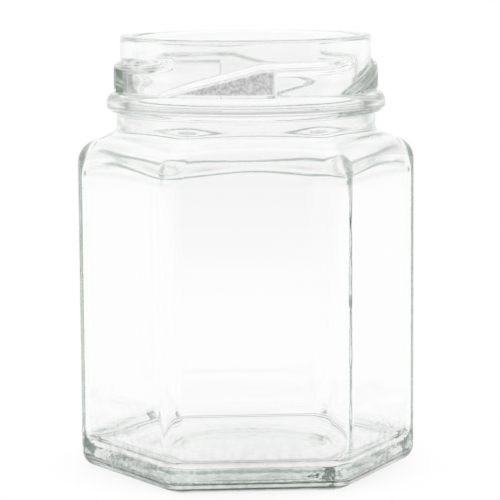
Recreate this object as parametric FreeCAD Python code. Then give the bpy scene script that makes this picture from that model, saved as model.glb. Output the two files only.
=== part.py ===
"""Hexagonal glass preserve jar with a round twist-off finish, one piece of clear glass.

Frame, in millimetres: +Z up, origin on the resting plane under the middle of the base. Two of the
six flat panels face -Y and +Y, and two of the rounded corners point along -X and +X. The glass is
the outer form with its thread, less the cavity and less the shallow punt under the base.
"""

import FreeCAD
import Part

import math
import os

V = FreeCAD.Vector
ORIGIN = V(0, 0, 0)
UP = V(0, 0, 1)
SPARE = 1.0  # how far a cutting form runs past the face that it cuts

# ---- body, outside -------------------------------------------------------------------------------
HEIGHT = 102.5  # resting plane to sealing rim
ACROSS_FLATS = 70.6
CORNER_R = 5.9  # upright corners
HEEL_R = 4.0  # between panels and base
BEARING_RING = 3.8  # flat ring that the jar stands on, between the heel and the punt
PUNT_H = 1.6

# ---- body, inside --------------------------------------------------------------------------------
PANEL_WALL = 2.4
INNER_CORNER_R = 4.6  # rounder than an even wall would be, so the corners hold more glass
FLOOR = 5.2  # glass under the cavity at the foot of the panels
INNER_HEEL_R = 4.2
FLOOR_FLAT = 5.0  # flat strip between the inner heel and the rise over the punt
FLOOR_RISE = 1.0

# ---- shoulder: a shallow cone from the neck outwards, cut off by the panels ------------------------
SHOULDER_BELOW_RIM = 22.4  # rim to where the cone would meet the neck
SHOULDER_SLOPE = math.radians(21)
SHOULDER_WALL = 2.4
SHOULDER_EDGE_R = 5.2  # between shoulder and panels
INNER_EDGE_R = 4.2
NECK_FILLET_R = 2.0  # between shoulder and neck
INNER_NECK_FILLET_R = 3.0

# ---- neck and finish: all round, and built outwards from the smooth wall that the cap slides over --
FINISH_D = 59.0
FINISH_WALL = 2.8
RIM_OUTER_R = 2.0
RIM_INNER_R = 0.7
NECK_STEP = 1.05  # how far the neck stands out from the finish wall
NECK_WALL = 2.4
BEAD_PROUD = 3.4  # how far the transfer bead stands out from the finish wall
BEAD_HALF_H = 2.7
BEAD_BELOW_RIM = 15.5  # rim to the middle of the bead
TAPER_TOP_BELOW_RIM = 12.0  # the bore widens from the mouth's to the neck's between these two
TAPER_BOTTOM_BELOW_RIM = 19.0

# ---- thread: equal lugs, each a ramp that ends in an upright stop, and a ridge that runs on past it --
THREAD_PROUD = 1.6
LUG_COUNT = 4
FIRST_LUG = -90.0  # direction of the first lug's zero angle, in degrees from +X
RAMP_START = -46.0  # angles along a lug, in degrees
KNEE = 3.0
STOP = 9.3
FLARE = 38.0
LUG_END = 53.0
START_BELOW_RIM = 12.4  # upper edge of the lug under the rim, at those angles
KNEE_BELOW_RIM = 5.4
FLARE_BELOW_RIM = 5.1
END_BELOW_RIM = 4.1
FLANK_H = 1.5  # rounded strip over the crest
UNDERCUT = 0.4  # slanted strip under the crest
RIDGE_H = 2.6  # whole height of the ridge
END_SIZE = 0.15  # what the flare keeps of the ridge's size at its end
LUG_ROOT = 1.0  # how far a lug's solid reaches into the finish wall
SECTION_STEP = 6.0  # largest angle between two sections of a lug
FLANK_STEPS = 3

# ---- what follows from those -----------------------------------------------------------------------
APOTHEM = ACROSS_FLATS / 2
INNER_APOTHEM = APOTHEM - PANEL_WALL
FINISH_R = FINISH_D / 2
MOUTH_R = FINISH_R - FINISH_WALL
NECK_R = FINISH_R + NECK_STEP
NECK_BORE_R = NECK_R - NECK_WALL
BEAD_Z = HEIGHT - BEAD_BELOW_RIM
SHOULDER_Z = HEIGHT - SHOULDER_BELOW_RIM
BELOW_SHOULDER = SHOULDER_Z - APOTHEM / 2  # a height that only the panels and corners cross


def hexagon(apothem, corner_r, z):
    """Closed wire of a hexagon with two sides square to Y and arcs at its corners."""
    to_centre = (apothem - corner_r) / math.cos(math.pi / 6)
    arcs = []
    for k in range(6):
        corner = k * math.pi / 3
        centre = V(to_centre * math.cos(corner), to_centre * math.sin(corner), z)
        turns = [corner + t for t in (-math.pi / 6, 0, math.pi / 6)]
        arcs.append([centre + V(corner_r * math.cos(t), corner_r * math.sin(t), 0) for t in turns])
    edges = []
    for this, following in zip(arcs, arcs[1:] + arcs[:1]):
        edges.append(Part.Arc(*this).toShape())
        edges.append(Part.LineSegment(this[2], following[0]).toShape())
    return Part.Wire(edges)


def prism(apothem, corner_r, bottom, heel_r):
    """Upright rounded hexagonal prism that runs past the rim, with its bottom edge rounded."""
    face = Part.Face(hexagon(apothem, corner_r, bottom))
    solid = face.extrude(V(0, 0, HEIGHT + 2 * SPARE - bottom))
    foot = [e for e in solid.Edges if e.BoundBox.ZMax < bottom + SPARE]
    return solid.makeFillet(heel_r, foot)


def line(a, b):
    return Part.LineSegment(V(a[0], 0, a[1]), V(b[0], 0, b[1])).toShape()


def arc(centre, radius, start, end):
    """Arc in the XZ plane about centre, between two angles in radians."""
    points = []
    for t in (start, (start + end) / 2, end):
        points.append(V(centre[0] + radius * math.cos(t), 0, centre[1] + radius * math.sin(t)))
    return Part.Arc(*points).toShape()


def turned(edges):
    """Solid of revolution about Z of a closed outline in the XZ plane."""
    return Part.Face(Part.Wire(edges)).revolve(ORIGIN, UP, 360)


def shoulder(neck_r, z, fillet_r, bottom):
    """Axis at the bottom, out, up to the cone, and in along it to the fillet and the neck.

    The cone's line would meet the neck at height z. Returns the edges and the height where the
    neck's upright line starts.
    """
    s, c = math.sin(SHOULDER_SLOPE), math.cos(SHOULDER_SLOPE)
    wide = ACROSS_FLATS
    outer = (wide, z - (wide - neck_r) * s / c)
    neck_z = z + fillet_r * (1 - s) / c
    touch = (neck_r + fillet_r * (1 - s), neck_z - fillet_r * c)
    edges = [
        line((0, bottom), (wide, bottom)),
        line((wide, bottom), outer),
        line(outer, touch),
        arc((neck_r + fillet_r, neck_z), fillet_r, 1.5 * math.pi - SHOULDER_SLOPE, math.pi),
    ]
    return edges, neck_z


def outer_form():
    """Outline, turned about the axis, of shoulder, neck, transfer bead, finish wall and rim."""
    bottom = -SPARE
    edges, neck_z = shoulder(NECK_R, SHOULDER_Z, NECK_FILLET_R, bottom)
    bead_low = V(NECK_R, 0, BEAD_Z - BEAD_HALF_H)
    bead_out = V(FINISH_R + BEAD_PROUD, 0, BEAD_Z)
    bead_high = V(FINISH_R, 0, BEAD_Z + BEAD_HALF_H)
    land_r = FINISH_R - RIM_OUTER_R
    edges += [
        line((NECK_R, neck_z), (bead_low.x, bead_low.z)),
        Part.Arc(bead_low, bead_out, bead_high).toShape(),
        line((bead_high.x, bead_high.z), (FINISH_R, HEIGHT - RIM_OUTER_R)),
        arc((land_r, HEIGHT - RIM_OUTER_R), RIM_OUTER_R, 0, math.pi / 2),
        line((land_r, HEIGHT), (0, HEIGHT)),
        line((0, HEIGHT), (0, bottom)),
    ]
    return turned(edges)


def cavity_form():
    """Outline, turned about the axis, of the inside of shoulder, neck and mouth."""
    # the inner cone lies the shoulder's wall inside the outer one, measured square to it
    cone_z = SHOULDER_Z + NECK_WALL * math.tan(SHOULDER_SLOPE) - SHOULDER_WALL / math.cos(SHOULDER_SLOPE)
    bottom = 0
    edges, neck_z = shoulder(NECK_BORE_R, cone_z, INNER_NECK_FILLET_R, bottom)
    low, high = HEIGHT - TAPER_BOTTOM_BELOW_RIM, HEIGHT - TAPER_TOP_BELOW_RIM
    middle = (low + high) / 2
    taper = Part.BezierCurve()
    poles = [(NECK_BORE_R, low), (NECK_BORE_R, middle), (MOUTH_R, middle), (MOUTH_R, high)]
    taper.setPoles([V(r, 0, z) for r, z in poles])
    land_r = MOUTH_R + RIM_INNER_R
    top = HEIGHT + SPARE
    edges += [
        line((NECK_BORE_R, neck_z), (NECK_BORE_R, low)),
        taper.toShape(),
        line((MOUTH_R, high), (MOUTH_R, HEIGHT - RIM_INNER_R)),
        arc((land_r, HEIGHT - RIM_INNER_R), RIM_INNER_R, math.pi, math.pi / 2),
        line((land_r, HEIGHT), (land_r, top)),
        line((land_r, top), (0, top)),
        line((0, top), (0, bottom)),
    ]
    return turned(edges)


def round_shoulder_edge(solid, radius, apothem, neck_r, corner_r, neck_fillet_r):
    """Rounds the edge all round where the shoulder's cone meets the panels and corners.

    The fillet stays under the corners' own radius, and leaves the neck's fillet its room where the
    cone is narrowest, over the middle of a panel.
    """
    room = (apothem - neck_r) / (1 - math.sin(SHOULDER_SLOPE)) - neck_fillet_r
    radius = min(radius, 0.95 * corner_r, 0.98 * room)
    ring = []
    for e in solid.Edges:
        middle = e.valueAt((e.FirstParameter + e.LastParameter) / 2)
        outside = math.hypot(middle.x, middle.y) > apothem - SPARE / 10
        box = e.BoundBox
        if outside and box.ZMin > BELOW_SHOULDER and box.ZMax < SHOULDER_Z:
            ring.append(e)
    return solid.makeFillet(radius, ring)


def dome(radius, height, z):
    """Flat cap of a ball, as wide and tall as given, standing on height z."""
    ball = (radius**2 + height**2) / (2 * height)
    half = math.asin(radius / ball)
    edges = [
        line((0, z), (radius, z)),
        arc((0, z + height - ball), ball, math.pi / 2 - half, math.pi / 2),
        line((0, z + height), (0, z)),
    ]
    return turned(edges)


def lug_edge(angle):
    """Height of a lug's upper edge at an angle along it: a ramp, a nearly level run, a short flare."""
    stations = [
        (RAMP_START, START_BELOW_RIM),
        (KNEE, KNEE_BELOW_RIM),
        (FLARE, FLARE_BELOW_RIM),
        (LUG_END, END_BELOW_RIM),
    ]
    for (a0, d0), (a1, d1) in zip(stations, stations[1:]):
        if angle <= a1:
            return HEIGHT - d0 - (d1 - d0) * (angle - a0) / (a1 - a0)
    return HEIGHT - END_BELOW_RIM


def lug_section(angle, bottom, size):
    """Closed wire across a lug, upright at this angle: root, rounded flank, crest, lower side."""
    upper = lug_edge(angle)
    proud = THREAD_PROUD * size
    outline = [(FINISH_R - LUG_ROOT, bottom), (FINISH_R - LUG_ROOT, upper)]
    for k in range(FLANK_STEPS + 1):
        t = k / FLANK_STEPS  # a parabola that ends upright at the crest
        outline.append((FINISH_R + proud * (2 - t) * t, upper - FLANK_H * size * t**2))
    outline.append((FINISH_R + proud, bottom + UNDERCUT * size))
    outline.append((FINISH_R + proud * 0.75, bottom))
    turn = math.radians(angle + FIRST_LUG)
    points = [V(r * math.cos(turn), r * math.sin(turn), z) for r, z in outline]
    return Part.makePolygon(points + points[:1])


def angles(start, end):
    """Evenly spaced angles from start to end, no further apart than SECTION_STEP."""
    count = math.ceil((end - start) / SECTION_STEP)
    return [start + (end - start) * k / count for k in range(count + 1)]


def lug():
    """One lug: the ramp, solid down to the bead and cut off at the stop, and the ridge past it."""
    ramp = [lug_section(a, BEAD_Z, 1.0) for a in angles(RAMP_START, STOP)]
    ridge = []
    for a in angles(STOP, LUG_END):
        left = min(1.0, (LUG_END - a) / (LUG_END - FLARE))
        size = END_SIZE + (1 - END_SIZE) * left
        ridge.append(lug_section(a, lug_edge(a) - RIDGE_H * size, size))
    return Part.makeLoft(ramp, True, True).fuse(Part.makeLoft(ridge, True, True))


def outer_glass():
    """The jar's outer form without its thread, solid inside."""
    form = prism(APOTHEM, CORNER_R, 0, HEEL_R).common(outer_form())
    form = round_shoulder_edge(form, SHOULDER_EDGE_R, APOTHEM, NECK_R, CORNER_R, NECK_FILLET_R)
    punt_r = APOTHEM - HEEL_R - BEARING_RING
    return form.cut(dome(punt_r, PUNT_H, 0))


def cavity():
    """The space that the glass encloses, past the rim, with the floor's rise taken out of it."""
    form = prism(INNER_APOTHEM, INNER_CORNER_R, FLOOR, INNER_HEEL_R).common(cavity_form())
    form = round_shoulder_edge(
        form, INNER_EDGE_R, INNER_APOTHEM, NECK_BORE_R, INNER_CORNER_R, INNER_NECK_FILLET_R
    )
    rise_r = INNER_APOTHEM - INNER_HEEL_R - FLOOR_FLAT
    return form.cut(dome(rise_r, FLOOR_RISE, FLOOR))


glass = outer_glass().cut(cavity())
one_lug = lug()
for k in range(LUG_COUNT):
    turned_lug = one_lug.copy()
    turned_lug.rotate(ORIGIN, UP, k * 360 / LUG_COUNT)
    glass = glass.fuse(turned_lug)

print("solids:", len(glass.Solids), "valid:", glass.isValid(), "volume:", round(glass.Volume), "mm3")
os.makedirs("parts", exist_ok=True)
glass.Solids[0].exportStep("parts/jar_glass.step")
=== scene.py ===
import math

import bpy
import numpy as np
from mathutils import Matrix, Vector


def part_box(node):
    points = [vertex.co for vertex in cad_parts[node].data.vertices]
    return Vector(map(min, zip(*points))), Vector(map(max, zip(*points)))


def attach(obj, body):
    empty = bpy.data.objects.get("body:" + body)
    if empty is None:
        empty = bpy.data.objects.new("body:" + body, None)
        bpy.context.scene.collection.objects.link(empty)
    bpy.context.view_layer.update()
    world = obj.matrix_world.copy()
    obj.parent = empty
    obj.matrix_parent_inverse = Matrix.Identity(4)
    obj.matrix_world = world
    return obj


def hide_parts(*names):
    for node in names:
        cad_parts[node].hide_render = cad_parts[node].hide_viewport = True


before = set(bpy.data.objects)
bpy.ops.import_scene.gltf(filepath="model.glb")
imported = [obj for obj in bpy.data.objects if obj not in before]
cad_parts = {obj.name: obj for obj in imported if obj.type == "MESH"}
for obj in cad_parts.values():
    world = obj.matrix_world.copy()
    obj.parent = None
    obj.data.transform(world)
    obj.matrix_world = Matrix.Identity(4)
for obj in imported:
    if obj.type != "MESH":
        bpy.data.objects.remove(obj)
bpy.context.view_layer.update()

# ======================================================================================================
# The jar: one piece of soda-lime glass, blown in a hexagonal mould and pressed at the mouth. Outside and
# inside are one closed skin: punt, foot, panels, shoulder, neck, transfer bead, thread and rim, then the
# bore, the cavity's panels and its floor.
# ======================================================================================================

MM = 0.001
LOW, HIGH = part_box("jar_glass")
HEIGHT = HIGH[2]
APOTHEM = (HIGH[1] - LOW[1]) / 2  # from the axis to the outside of a panel

# foot, panels and shoulder, outside
CORNER_R = 5.9 * MM
HEEL_R = 4.0 * MM
BEARING_RING = 3.8 * MM  # width of the level ring that the jar stands on
PUNT_H = 1.6 * MM
BAFFLE_R = 17.5 * MM  # round step that the mould's baffle leaves in the punt
BAFFLE_STEP = 0.3 * MM
EDGE_R = 5.2 * MM  # between panels and shoulder
SLOPE = math.radians(21)
SHOULDER_Z = HEIGHT - 22.4 * MM  # where the shoulder's slope would meet the neck
NECK_FILLET_R = 2.1 * MM

# cavity
PANEL_WALL = 2.4 * MM
INNER_CORNER_R = 4.6 * MM
INNER_HEEL_R = 4.2 * MM
FLOOR = 5.2 * MM
FLOOR_RISE = 1.0 * MM
INNER_SHOULDER = (69.1 * MM, 84.5 * MM)
RIPPLE = 0.04 * MM

# neck, bead and finish
FINISH_R = 29.5 * MM
NECK_R = FINISH_R + 1.05 * MM
NECK_WALL = 2.4 * MM
MOUTH_R = FINISH_R - 2.8 * MM
RIM_OUTER_R = 2.0 * MM
RIM_INNER_R = 0.75 * MM
BEAD_Z = HEIGHT - 15.5 * MM
BEAD_R = 2.6 * MM
BEAD_CENTRE_R = FINISH_R + 0.8 * MM
MOULD_SEAM = 0.25 * MM  # how far the seam stands out round the bead

# thread: angles in degrees along a lug, and millimetres under the rim
THREAD_PROUD = 1.6 * MM
LUGS = 4
FIRST_LUG = -90.0
STOP_ANGLE = 9.3
LUG_STATIONS = [-46, -23, 3, 12, 38, 53]
LUG_EDGE = [12.4, 9.0, 5.4, 5.25, 5.1, 4.1]
FLANK = 1.15
RIDGE = 2.7


def smooth(t):
    """Zero below 0, one above 1, and between them 3 t squared less 2 t cubed."""
    t = np.clip(t, 0.0, 1.0)
    return t * t * (3 - 2 * t)


def around():
    """The columns of the grid, once round the jar, as three arrays.

    Returns a point on the sharp hexagon of unit apothem, the direction that the wall faces there, and
    the compass angle of the wall. Along a flat the point moves and the wall's direction stays; round a
    corner the point stays and the direction turns. Extra pairs of columns stand at the thread's stops.
    """
    arc_steps, flat_steps, pair = 14, 42, 0.06
    to_flat = math.degrees(math.atan(math.tan(math.pi / 6) * (APOTHEM - CORNER_R) / APOTHEM))
    stops = FIRST_LUG + STOP_ANGLE + 360 / LUGS * np.arange(2 * LUGS)
    points, facing = [], []
    for side in range(6):
        middle = 30 + 60 * side
        flat = np.linspace(-to_flat, to_flat, flat_steps, endpoint=False)
        near = stops[np.abs(stops - middle) < to_flat] - middle
        flat = np.sort(np.concatenate([flat, near - pair, near + pair]))
        along = np.tan(np.radians(flat)) * APOTHEM / (APOTHEM - CORNER_R)
        turn = math.radians(middle)
        out = np.array([math.cos(turn), math.sin(turn)])
        side_on = np.array([-math.sin(turn), math.cos(turn)])
        points.append(out + along[:, None] * side_on)
        facing.append(np.full(len(flat), turn))
        corner = turn + math.pi / 6
        point = np.array([math.cos(corner), math.sin(corner)]) / math.cos(math.pi / 6)
        points.append(np.repeat(point[None], arc_steps, 0))
        facing.append(turn + np.linspace(0, math.pi / 3, arc_steps, endpoint=False))
    hexagon, facing = np.concatenate(points), np.concatenate(facing)
    wall = (APOTHEM - CORNER_R) * hexagon + CORNER_R * np.stack([np.cos(facing), np.sin(facing)], 1)
    return hexagon, facing, np.unwrap(np.arctan2(wall[:, 1], wall[:, 0]))


HEXAGON, FACING, COMPASS = around()
NORMAL = np.stack([np.cos(FACING), np.sin(FACING)], 1)
ROUND = np.stack([np.cos(COMPASS), np.sin(COMPASS)], 1)


def rings(xy, z):
    """Rows of points from plan positions and heights, which may be one number or one for each column."""
    z = np.broadcast_to(np.asarray(z, float), xy.shape[:-1])
    return np.concatenate([xy, z[..., None]], -1)


def circles(r, z):
    """One round row for each radius, at its height."""
    return rings(r[:, None, None] * ROUND[None], z[:, None])


def walls(bottom, top, steps):
    """Rows between two rows, evenly spaced, without either."""
    t = np.linspace(0, 1, steps + 2)[1:-1, None, None]
    return bottom + (top - bottom) * t


def outline(apothem, corner_r):
    """Rounded hexagon: the sharp one drawn in by the corner's radius, and that radius out again."""
    return (apothem - corner_r) * HEXAGON + corner_r * NORMAL


def heel(apothem, corner_r, radius, base_z, steps):
    """Quarter circles rolled round a foot, about the drawn-in outline, from straight down to straight out."""
    t = np.linspace(0, math.pi / 2, steps)[:, None, None]
    xy = outline(apothem - radius, corner_r - radius)[None] + radius * np.sin(t) * NORMAL[None]
    return rings(xy, base_z + radius * (1 - np.cos(t[..., 0])))


def cap(r, rim_r, rise):
    """Height over its own rim of a slice of a ball that is rim_r wide and rises by rise in its middle."""
    ball = (rim_r**2 + rise**2) / (2 * rise)
    return rise - ball + np.sqrt(ball**2 - r**2)


def punt():
    """Under the base: a hollow cap of a ball, with the baffle's round step eased in over two millimetres."""
    rim_r = APOTHEM - HEEL_R - BEARING_RING
    r = np.concatenate([rim_r * np.linspace(0, 1, 11)[1:], BAFFLE_R + np.linspace(-1, 1, 7) * MM])
    r = np.sort(r)
    step = BAFFLE_STEP * smooth((r - BAFFLE_R) / (2 * MM) + 0.5)
    return circles(r, cap(r, rim_r, PUNT_H) - step * (r < rim_r - 1 * MM))


def cone_height(r):
    """The shoulder's cone: it falls from the neck at one even slope."""
    return SHOULDER_Z - (r - NECK_R) * math.tan(SLOPE)


def shoulder_edge(steps):
    """A ball rolled inside panels and cone at once: each row turns evenly from the panel's way to the cone's.

    Its centres lie over the drawn-in outline, a radius under the cone along the cone's own direction.
    """
    xy = outline(APOTHEM - EDGE_R, CORNER_R - EDGE_R)
    r = np.linalg.norm(xy, axis=1)
    centre = rings(xy, cone_height(r) - EDGE_R / math.cos(SLOPE))
    wall = rings(NORMAL, 0.0)
    cone = rings(xy / r[:, None] * math.sin(SLOPE), math.cos(SLOPE))
    between = np.arccos(np.clip((wall * cone).sum(1), -1, 1))[:, None]
    t = np.linspace(0, 1, steps)[:, None, None]
    direction = (np.sin((1 - t) * between) * wall + np.sin(t * between) * cone) / np.sin(between)
    return centre + EDGE_R * direction


def cone(start, steps):
    """Rows up the cone, from where the rolled edge ends to the neck's fillet.

    Radius and compass angle go evenly from the one to the other, and the height follows the cone.
    """
    r0 = np.hypot(start[:, 0], start[:, 1])
    a0 = np.arctan2(start[:, 1], start[:, 0])
    a0 -= 2 * math.pi * np.round((a0 - COMPASS) / (2 * math.pi))
    t = np.linspace(0, 1, steps + 1)[1:, None]
    r = r0 + (NECK_R + NECK_FILLET_R * (1 - math.sin(SLOPE)) - r0) * t
    a = a0 + (COMPASS - a0) * t
    return rings(np.stack([r * np.cos(a), r * np.sin(a)], -1), cone_height(r))


def bend(centre, radius, start, end):
    """Part of a circle in the upright plane, from one angle to another in degrees."""
    t = np.radians(np.linspace(start, end, 40))
    return np.stack([centre[0] + radius * np.cos(t), centre[1] + radius * np.sin(t)], 1)


def profile(pieces, blur, spacing):
    """Joins stretches of (radius, height) into one line, evenly stepped, with its corners softened.

    Each point is averaged with its neighbours under a bell curve of width blur, the ends held.
    """
    line = np.concatenate(pieces)
    length = np.concatenate([[0], np.cumsum(np.linalg.norm(np.diff(line, axis=0), axis=1))])
    keep = np.concatenate([[True], np.diff(length) > 0])
    fine = 0.05 * MM
    s = np.arange(0, length[-1], fine)
    even = np.stack([np.interp(s, length[keep], line[keep, k]) for k in (0, 1)], 1)
    reach = int(3 * blur / fine)
    bell = np.exp(-0.5 * (np.arange(-reach, reach + 1) * fine / blur) ** 2)
    before, after = 2 * even[:1] - even[reach:0:-1], 2 * even[-1:] - even[-2 : -reach - 2 : -1]
    padded = np.concatenate([before, even, after])
    soft = np.stack([np.convolve(padded[:, k], bell / bell.sum(), "valid") for k in (0, 1)], 1)
    pick = np.linspace(0, len(soft) - 1, max(2, round(s[-1] / spacing)) + 1)
    return np.stack([np.interp(pick, np.arange(len(soft)), soft[:, k]) for k in (0, 1)], 1)


def neck_line():
    """Half section from the shoulder's fillet up the neck and round the transfer bead, which has a seam."""
    fillet_z = SHOULDER_Z + NECK_FILLET_R * (1 - math.sin(SLOPE)) / math.cos(SLOPE)
    bead = (BEAD_CENTRE_R, BEAD_Z)
    under = -math.degrees(math.acos((NECK_R - BEAD_CENTRE_R) / BEAD_R))
    over = math.degrees(math.acos((FINISH_R - BEAD_CENTRE_R) / BEAD_R))
    pieces = [
        bend((NECK_R + NECK_FILLET_R, fillet_z), NECK_FILLET_R, 270 - math.degrees(SLOPE), 180),
        [(NECK_R, fillet_z), (NECK_R, BEAD_Z - BEAD_R)],
        bend(bead, BEAD_R, under, -26),
        bend(bead, BEAD_R + MOULD_SEAM, -22, -18),
        bend(bead, BEAD_R, -14, over),
        [(FINISH_R, BEAD_Z + BEAD_R + 0.3 * MM)],
    ]
    return profile(pieces, 0.14 * MM, 0.3 * MM)


def finish_line(start_z):
    """Half section up the finish's wall and round the rim's outer edge."""
    land = FINISH_R - RIM_OUTER_R
    pieces = [
        [(FINISH_R, start_z), (FINISH_R, HEIGHT - RIM_OUTER_R)],
        bend((land, HEIGHT - RIM_OUTER_R), RIM_OUTER_R, 0, 90),
    ]
    return profile(pieces, 0.05 * MM, 0.24 * MM)


def bore_line():
    """Half section down the inside: the rim's inner edge, the mouth, and an S-curve to the neck's bore."""
    lip, bore = MOUTH_R + RIM_INNER_R, NECK_R - NECK_WALL
    z_high, z_low = HEIGHT - 10 * MM, HEIGHT - 17.5 * MM
    taper = np.linspace(0, 1, 30)
    pieces = [
        bend((lip, HEIGHT - RIM_INNER_R), RIM_INNER_R, 90, 180),
        [(MOUTH_R, HEIGHT - RIM_INNER_R), (MOUTH_R, z_high)],
        np.stack([MOUTH_R + (bore - MOUTH_R) * smooth(taper), z_high + (z_low - z_high) * taper], 1),
        [(bore, z_low), (bore, INNER_SHOULDER[1])],
    ]
    return profile(pieces, 0.15 * MM, 0.7 * MM)


def lug_angle(compass):
    """Angle along the nearest lug, in degrees: zero at its middle, from -45 to 45 about it."""
    pitch = 360 / LUGS
    return (np.degrees(compass) - FIRST_LUG + pitch / 2) % pitch - pitch / 2


def rounded_ramp(t, soft):
    """Rises evenly from 0 to 1 as t does, with both of its corners rounded over a length soft."""
    return (np.sqrt(t**2 + soft**2) - np.sqrt((t - 1) ** 2 + soft**2) + 1) / 2


def thread(compass, z):
    """How far the thread stands out, at compass angles and heights given as a grid, and where it is stippled.

    A lug's upper edge climbs to a knee, runs nearly level and flares up at its end. Up to the stop the
    lug is solid down to the bead; past it only a ridge is left, which thins out along the flare. Both
    edges are even slopes with rounded corners, and a fine groove runs under the upper one. A lug's tail
    overlaps the head of the next, so each lug is laid down a turn early and a turn late too.
    """
    below = (HEIGHT - z) / MM
    past_bead, bead_line = 20.0, 12.35
    relief, stipple = np.zeros_like(z), np.zeros_like(z)
    for shift in (-360 / LUGS, 0.0, 360 / LUGS):
        a = lug_angle(compass) + shift
        on = (a > LUG_STATIONS[0]) & (a < LUG_STATIONS[-1])
        edge = np.interp(a, LUG_STATIONS, LUG_EDGE)
        foot = np.where(a < STOP_ANGLE, past_bead, edge + RIDGE)
        size = smooth((a + 47) / 5) * (1 - smooth((a - 36) / 18))
        groove = 0.14 * np.exp(-(((below - edge - FLANK - 0.35) / 0.22) ** 2))
        flank = rounded_ramp((below - edge) / FLANK, 0.08) - groove
        under = rounded_ramp((foot - below) / 0.6, 0.15)
        relief = np.maximum(relief, np.where(on, size * flank * under, 0.0))
        face = smooth((below - edge - FLANK - 0.5) / 0.2) * smooth((bead_line - below) / 0.3)
        face *= smooth((STOP_ANGLE - 0.8 - a) / 0.4) * smooth((a + 40) / 3)
        stipple = np.maximum(stipple, np.where(on, face, 0.0))
    return relief * THREAD_PROUD, stipple


def finish():
    """Neck, bead, finish, rim and bore: their half sections turned about the axis, with the thread laid on.

    Returns the rows, the stippled share of each point, and which rows are on the outside.
    """
    neck = neck_line()
    wall = finish_line(neck[-1, 1])
    land, lip = FINISH_R - RIM_OUTER_R, MOUTH_R + RIM_INNER_R
    line = np.concatenate([neck[1:], wall[1:], [((land + lip) / 2, HEIGHT)], bore_line()])
    rows = circles(line[:, 0], line[:, 1])
    outer = np.arange(len(line)) < len(neck) + len(wall) - 2
    relief, stipple = thread(np.broadcast_to(COMPASS, rows.shape[:2]), rows[..., 2])
    on_wall = (outer & (line[:, 1] > BEAD_Z))[:, None]
    reach = line[:, 0][:, None]
    grown = np.where(on_wall, np.maximum(reach, FINISH_R + relief), reach)
    rows[..., :2] = grown[..., None] * ROUND[None]
    return rows, np.where(on_wall & (grown > reach + 1e-7), stipple, 0.0), outer


def ripple(angle, z, sizes):
    """Slow waves that cross, as in the inside of blown glass, running from -1 to 1 for a size of 1.

    Each wave goes a whole number of times round the jar, and climbs or falls along it.
    """
    waves = [
        (5, 0.21, 0.4), (7, -0.33, 2.1), (11, 0.47, 4.0),
        (3, 0.74, 1.3), (13, -0.95, 5.2), (2, 1.31, 3.3),
    ]
    total = sum(np.sin(k * angle + m * z / MM + shift) for k, m, shift in waves)
    return sizes * total / len(waves)


def cavity():
    """The inside from the bore down: shoulder, panels, heel, floor and the floor's rise, as blocks of rows.

    The shoulder goes from the hexagon to the bore by an ease of 10 t cubed less 15 t to the fourth plus
    6 t to the fifth. The ripple pushes the wall in and out the way it faces, and fades below the neck.
    """
    inner = APOTHEM - PANEL_WALL
    wall_xy = outline(inner, INNER_CORNER_R)
    t = np.linspace(0, 1, 34)[:, None, None]
    ease = t**3 * (10 - 15 * t + 6 * t**2)
    z = INNER_SHOULDER[0] + (INNER_SHOULDER[1] - INNER_SHOULDER[0]) * t[..., 0]
    shoulder = rings(wall_xy + ((NECK_R - NECK_WALL) * ROUND - wall_xy) * ease, z)
    foot = heel(inner, INNER_CORNER_R, INNER_HEEL_R, FLOOR, 11)
    panels = walls(foot[-1], shoulder[0], 38)
    for rows in (shoulder, panels, foot):
        fade = smooth((80 * MM - rows[..., 2]) / (15 * MM))
        push = ripple(np.broadcast_to(FACING, rows.shape[:2]), rows[..., 2], RIPPLE * fade)
        rows[..., :2] -= push[..., None] * NORMAL
    rise_r = inner - INNER_HEEL_R - 5 * MM
    r = rise_r * np.linspace(0, 1, 7)[1:]
    rise = circles(r, FLOOR + cap(r, rise_r, FLOOR_RISE))
    floor = walls(rise[-1], foot[0], 3)
    return {
        "inner_shoulder": shoulder[::-1][1:],
        "inner_panels": panels[::-1],
        "inner_foot": foot[::-1],
        "floor": floor[::-1],
        "rise": rise[::-1],
    }


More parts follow.
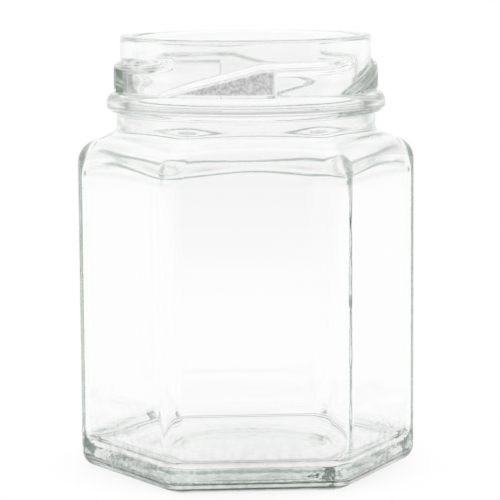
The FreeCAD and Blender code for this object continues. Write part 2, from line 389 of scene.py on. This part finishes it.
def marks_and_painted_shade(blocks, stipple, outer):
    """Where the glass isn't plain and clear, and where painted shade lies on it, as a share for each point of
    the grid.

    Stipple: the matt faces of the lugs, faded towards the back. Hazy: the shoulder, the upright corners and
    the inside of the finish, faintly uneven. Dark lines, all painted shade: rings round the foot and under
    the bead, the front of the cavity's heel and the front of the foot. Chilled: pits that the cold mould
    leaves in the foot, with painted shade in dark blotches, mostly on the two flats beside the front one.
    Lines are bell curves in height.
    """
    grid = np.concatenate(list(blocks.values()))
    ends = dict(zip(blocks, np.cumsum([len(rows) for rows in blocks.values()])))
    span = {name: slice(ends[name] - len(rows), ends[name]) for name, rows in blocks.items()}
    x, y, z = (grid[..., k] / MM for k in range(3))
    marks = {name: np.zeros(grid.shape[:2]) for name in ("stipple", "chill_pits_and_shade", "shade_lines", "hazy")}
    # how much each column faces the front; most of the painted shade is laid on that side
    front = (0.5 - 0.5 * np.sin(COMPASS)) ** 2

    # the stipple, and the painted shade in its specks, faded towards the back
    marks["stipple"][span["finish"]] = stipple * (1 - 0.85 * smooth((np.sin(COMPASS) - 0.1) * 2))

    corner = smooth((np.cos(6 * COMPASS) + 0.2) / 0.9) * smooth((z - 8) / 6)
    bore = 0.85 * smooth((z - 83) / 4)
    bore[: span["finish"].start + len(blocks["finish"]) // 2] = 0.0
    shoulder = np.maximum(smooth((z - 62) / 7), 0.4 * corner) * (1 - smooth((z - 83) / 4))
    marks["hazy"] = np.maximum(shoulder, bore)

    def line(part, height, width, strength):
        return strength * np.exp(-(((z[part] - height) / width) ** 2))

    foot, bead = span["foot"], span["finish"]
    # painted shade: two dark rings all round the foot
    marks["shade_lines"][foot] = line(foot, 1.1, 0.3, 1.0) + line(foot, 2.5, 0.22, 1.0)
    # painted shade: two dark lines under the bead, on the front
    under_bead = outer[:, None] & (z[bead] < BEAD_Z / MM)
    marks["shade_lines"][bead] = under_bead * front * (line(bead, 86.4, 0.16, 1.0) + line(bead, 85.6, 0.14, 0.8))
    # painted shade: the front of the cavity's heel
    marks["shade_lines"][span["floor"].start - 3 : span["floor"].start] = 0.6 * front
    # painted shade: the middle of the front of the foot, darker towards the bottom
    low = slice(0, foot.stop)
    middle = 0.22 * front**2 * np.exp(-((x[low] / 15) ** 2)) * smooth((5 - z[low]) / 2)
    marks["shade_lines"][low] += middle * smooth((9 - APOTHEM / MM - y[low]) / 6)

    # chill pits: real bumps, and painted shade in their dark blotches; on the front and the flats beside it,
    # none at the back
    flats = np.exp(-(((np.sin(COMPASS) + 0.5) / 0.3) ** 2))
    pitted = [
        np.zeros(len(blocks["punt"])),
        np.linspace(0.1, 0.5, len(blocks["base"])),
        np.linspace(0.5, 0.8, len(blocks["foot"])),
    ]
    marks["chill_pits_and_shade"][low] = np.concatenate(pitted)[:, None] * (0.2 * front + 0.5 * flats)
    return grid, marks


def skin(name, grid, poles, marks):
    """A closed mesh from a grid whose rows run round, with a pole before the first row and after the last.

    Each cell is a quadrangle, each pole a fan of triangles, and every face looks out of the glass.
    """
    rows, columns = grid.shape[:2]
    index = np.arange(rows * columns).reshape(rows, columns)
    right = np.roll(index, -1, 1)
    cells = np.stack([index[:-1], right[:-1], right[1:], index[1:]], -1).reshape(-1, 4)
    first = np.stack([right[0], index[0], np.full(columns, rows * columns)], -1)
    last = np.stack([index[-1], right[-1], np.full(columns, rows * columns + 1)], -1)
    mesh = bpy.data.meshes.new(name)
    points = np.concatenate([grid.reshape(-1, 3), poles])
    mesh.from_pydata(points.tolist(), [], cells.tolist() + first.tolist() + last.tolist())
    mesh.polygons.foreach_set("use_smooth", np.ones(len(mesh.polygons), bool))
    for mark, values in marks.items():
        layer = mesh.attributes.new(mark, "FLOAT", "POINT")
        layer.data.foreach_set("value", np.concatenate([values.ravel(), values[0, :1], values[-1, :1]]))
    mesh.validate()
    piece = bpy.data.objects.new(name, mesh)
    bpy.context.scene.collection.objects.link(piece)
    return piece


class Wire:
    """An outlet in a node tree. Sums, differences and products of wires and numbers add Math nodes."""

    def __init__(self, tree, socket=None):
        self.tree = tree
        self.socket = socket

    def node(self, kind, settings, sockets, outlet=0):
        """Adds a node to the same tree: settings first, then each socket gets its value or its link."""
        node = self.tree.nodes.new(kind)
        for name, value in settings.items():
            setattr(node, name, value)
        for name, value in sockets.items():
            if isinstance(value, Wire):
                self.tree.links.new(value.socket, node.inputs[name])
            else:
                node.inputs[name].default_value = value
        return Wire(self.tree, node.outputs[outlet] if node.outputs else None)

    def maths(self, operation, first, second):
        return self.node("ShaderNodeMath", {"operation": operation}, {0: first, 1: second})

    def __add__(self, other):
        return self.maths("ADD", self, other)

    def __radd__(self, other):
        return self.maths("ADD", other, self)

    def __sub__(self, other):
        return self.maths("SUBTRACT", self, other)

    def __rsub__(self, other):
        return self.maths("SUBTRACT", other, self)

    def __mul__(self, other):
        return self.maths("MULTIPLY", self, other)

    def __rmul__(self, other):
        return self.maths("MULTIPLY", other, self)

    def ramp(self, start, end, low, high, curve="SMOOTHSTEP"):
        """Goes from low to high as this wire goes from start to end, and stays there."""
        sockets = {"Value": self, "From Min": start, "From Max": end, "To Min": low, "To Max": high}
        return self.node("ShaderNodeMapRange", {"interpolation_type": curve}, sockets)

    def colour(self, first, second):
        """The first colour where this wire is 0, the second where it is 1."""
        return self.node("ShaderNodeMix", {"data_type": "RGBA"}, {0: self, 6: first, 7: second}, 2)


def bare_tree(owner):
    """Empties the node tree of a material or world, and returns a wire to add its nodes from."""
    owner.use_nodes = True
    owner.node_tree.nodes.clear()
    return Wire(owner.node_tree)


WHITE = (1.0, 1.0, 1.0, 1.0)
# painted shade: the near-black colour that the glass's base colour darkens towards
PAINTED_SHADE = (0.02, 0.023, 0.02, 1.0)
DEPTH_TINT = (0.47, 0.6, 0.5, 1.0)


def clear_glass():
    """Flint glass: clear and glossy, faintly grey-green where it is thick, matt where it is stippled.
    Its base colour carries painted shade, near black: specks on the stipple, blotches on the chill pits
    and dark lines round the foot, under the bead and at the front.
    """
    material = bpy.data.materials.new("clear_glass")
    tree = bare_tree(material)
    place = tree.node("ShaderNodeTexCoord", {}, {}, "Object")
    stipple, chill_pits_and_shade, shade_lines, hazy = (
        tree.node("ShaderNodeAttribute", {"attribute_name": mark}, {}, "Fac")
        for mark in ("stipple", "chill_pits_and_shade", "shade_lines", "hazy")
    )
    noises = [
        {"Vector": place, "Scale": scale, "Detail": detail, "Roughness": rough}
        for scale, detail, rough in ((1400.0, 2.0, 0.7), (560.0, 3.0, 0.6), (90.0, 1.0, 0.5))
    ]
    grain, pits, soft = (tree.node("ShaderNodeTexNoise", {}, sockets) for sockets in noises)
    stipple_shade = grain.ramp(0.3, 0.65, 0.2, 0.75, "LINEAR")
    painted_blotch = pits.ramp(0.46, 0.6, 0.05, 1.0, "LINEAR")
    relief = stipple * grain + chill_pits_and_shade * pits * 0.8 + 0.02 * soft
    glass = {
        # painted shade: the base colour goes dark in specks on the stipple, in blotches on the pits and along
        # dark lines
        "Base Color": (stipple * stipple_shade + chill_pits_and_shade * painted_blotch + shade_lines).colour(WHITE, PAINTED_SHADE),
        "Roughness": stipple * 0.35 + chill_pits_and_shade * 0.05 + hazy * 0.08 + 0.004 * soft,
        "Normal": tree.node("ShaderNodeBump", {}, {"Strength": 1.0, "Distance": 0.0003, "Height": relief}),
        "IOR": 1.52,
        "Transmission Weight": 1.0,
    }
    surface = tree.node("ShaderNodeBsdfPrincipled", {}, glass)
    depth = tree.node("ShaderNodeVolumeAbsorption", {}, {"Color": DEPTH_TINT, "Density": 7.0})
    tree.node("ShaderNodeOutputMaterial", {}, {"Surface": surface, "Volume": depth})
    return material


foot_rows = heel(APOTHEM, CORNER_R, HEEL_R, 0.0, 21)
edge_rows = shoulder_edge(13)
punt_rows = punt()
finish_rows, lug_stipple, outer_rows = finish()
jar_blocks = {
    "punt": punt_rows,
    "base": walls(punt_rows[-1], foot_rows[0], 3),
    "foot": foot_rows,
    "panels": walls(foot_rows[-1], edge_rows[0], 5),
    "edge": edge_rows,
    "cone": cone(edge_rows[-1], 3),
    "finish": finish_rows,
    **cavity(),
}
jar_grid, jar_marks = marks_and_painted_shade(jar_blocks, lug_stipple, outer_rows)
jar = skin("jar", jar_grid, [[0, 0, PUNT_H], [0, 0, FLOOR + FLOOR_RISE]], jar_marks)
jar.data.materials.append(clear_glass())
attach(jar, "root")
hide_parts("jar_glass")

# ======================================================================================================
# The floor: a wide white sheet of studio paper. It shades softly under the jar and turns to plain white
# further off, and it lies on the plane that the jar stands on.
# ======================================================================================================

PAPER_HALF = 6.0
PAPER_WHITE = (0.9, 0.9, 0.9, 1.0)
BLACK = (0.0, 0.0, 0.0, 1.0)


def paper():
    """White paper: matt, and lit to plain white as camera, gloss and glass see it, a little less near by."""
    material = bpy.data.materials.new("studio_paper")
    tree = bare_tree(material)
    place = tree.node("ShaderNodeTexCoord", {}, {}, "Object")
    far = tree.node("ShaderNodeVectorMath", {"operation": "LENGTH"}, {"Vector": place}, "Value")
    y = tree.node("ShaderNodeSeparateXYZ", {}, {"Vector": place}, "Y")
    camera, gloss, glass = (
        tree.node("ShaderNodeLightPath", {}, {}, f"Is {kind} Ray")
        for kind in ("Camera", "Glossy", "Transmission")
    )
    looked = camera.maths("MAXIMUM", camera.maths("MAXIMUM", camera, gloss), glass)
    level = camera + (1 - camera) * y.ramp(-0.6, -0.2, 0.5, 1.0)
    matt = tree.node("ShaderNodeBsdfDiffuse", {}, {"Color": PAPER_WHITE})
    glow = tree.node("ShaderNodeEmission", {}, {"Color": level.colour(BLACK, WHITE)})
    share = far.ramp(0.03, 0.052, 0.85, 1.0) * looked
    mix = tree.node("ShaderNodeMixShader", {}, {0: share, 1: matt, 2: glow})
    tree.node("ShaderNodeOutputMaterial", {}, {"Surface": mix})
    return material


sheet = bpy.data.meshes.new("paper_floor")
paper_corners = [(x * PAPER_HALF, y * PAPER_HALF, 0) for x, y in ((-1, -1), (1, -1), (1, 1), (-1, 1))]
sheet.from_pydata(paper_corners, [], [(0, 1, 2, 3)])
paper_floor = bpy.data.objects.new("paper_floor", sheet)
bpy.context.scene.collection.objects.link(paper_floor)
paper_floor.data.materials.append(paper())

# ======================================================================================================
# The light: a white studio tent. Gloss and glass see it white behind and above, and darker at the front
# and low at both sides, which draws the dark lines along the glass's edges.
# ======================================================================================================


def tent():
    """A world that is white for camera and matt surfaces, and shaded by direction for gloss and glass."""
    world = bpy.data.worlds.new("studio_tent")
    bpy.context.scene.world = world
    tree = bare_tree(world)
    direction = tree.node("ShaderNodeTexCoord", {}, {}, "Generated")
    x, y, z = (tree.node("ShaderNodeSeparateXYZ", {}, {"Vector": direction}, axis) for axis in "XYZ")
    back = y.ramp(-0.5, -0.05, 0.3, 1.0)
    aside = x.maths("ABSOLUTE", x, 0.0).ramp(0.4, 0.8, 0.0, 0.6)
    low = z.ramp(0.15, 0.4, 1.0, 0.0)
    camera = tree.node("ShaderNodeLightPath", {}, {}, "Is Camera Ray")
    matt = tree.node("ShaderNodeLightPath", {}, {}, "Is Diffuse Ray")
    plain = camera.maths("MAXIMUM", camera, matt)
    level = plain + (1 - plain) * (back * (1 - aside * low))
    glow = tree.node("ShaderNodeBackground", {}, {"Color": level.colour(BLACK, WHITE)})
    tree.node("ShaderNodeOutputWorld", {}, {"Surface": glow})


tent()

# ======================================================================================================
# The camera: a long lens a little above the rim's height, almost square to the front panel.
# ======================================================================================================


def camera():
    """Looks from the front, 3.6 degrees round to the left and 7.5 degrees up, at the middle of the jar."""
    azimuth, height, lean = math.radians(-3.622), math.radians(7.5), math.radians(-0.402)
    distance, aim = 597.1 * MM, np.array([0, 0, 50 * MM])
    across = math.cos(height)
    away = np.array([math.sin(azimuth) * across, -math.cos(azimuth) * across, math.sin(height)])
    lens = bpy.data.cameras.new("camera")
    lens.sensor_width = 36
    lens.lens = 180.55
    lens.shift_x = 0.0058
    lens.shift_y = 0.012
    lens.clip_start = 0.01
    eye = bpy.data.objects.new("camera", lens)
    bpy.context.scene.collection.objects.link(eye)
    eye.location = (aim + away * distance).tolist()
    level = Matrix.Rotation(azimuth, 3, "Z") @ Matrix.Rotation(math.pi / 2 - height, 3, "X")
    eye.rotation_euler = (level @ Matrix.Rotation(lean, 3, "Z")).to_euler()
    return eye


bpy.context.scene.camera = camera()
bpy.context.scene.view_settings.view_transform = "Standard"

# light goes round many times inside thick glass before it comes out
for limit in ("max_bounces", "transmission_bounces", "glossy_bounces"):
    setattr(bpy.context.scene.cycles, limit, 48)
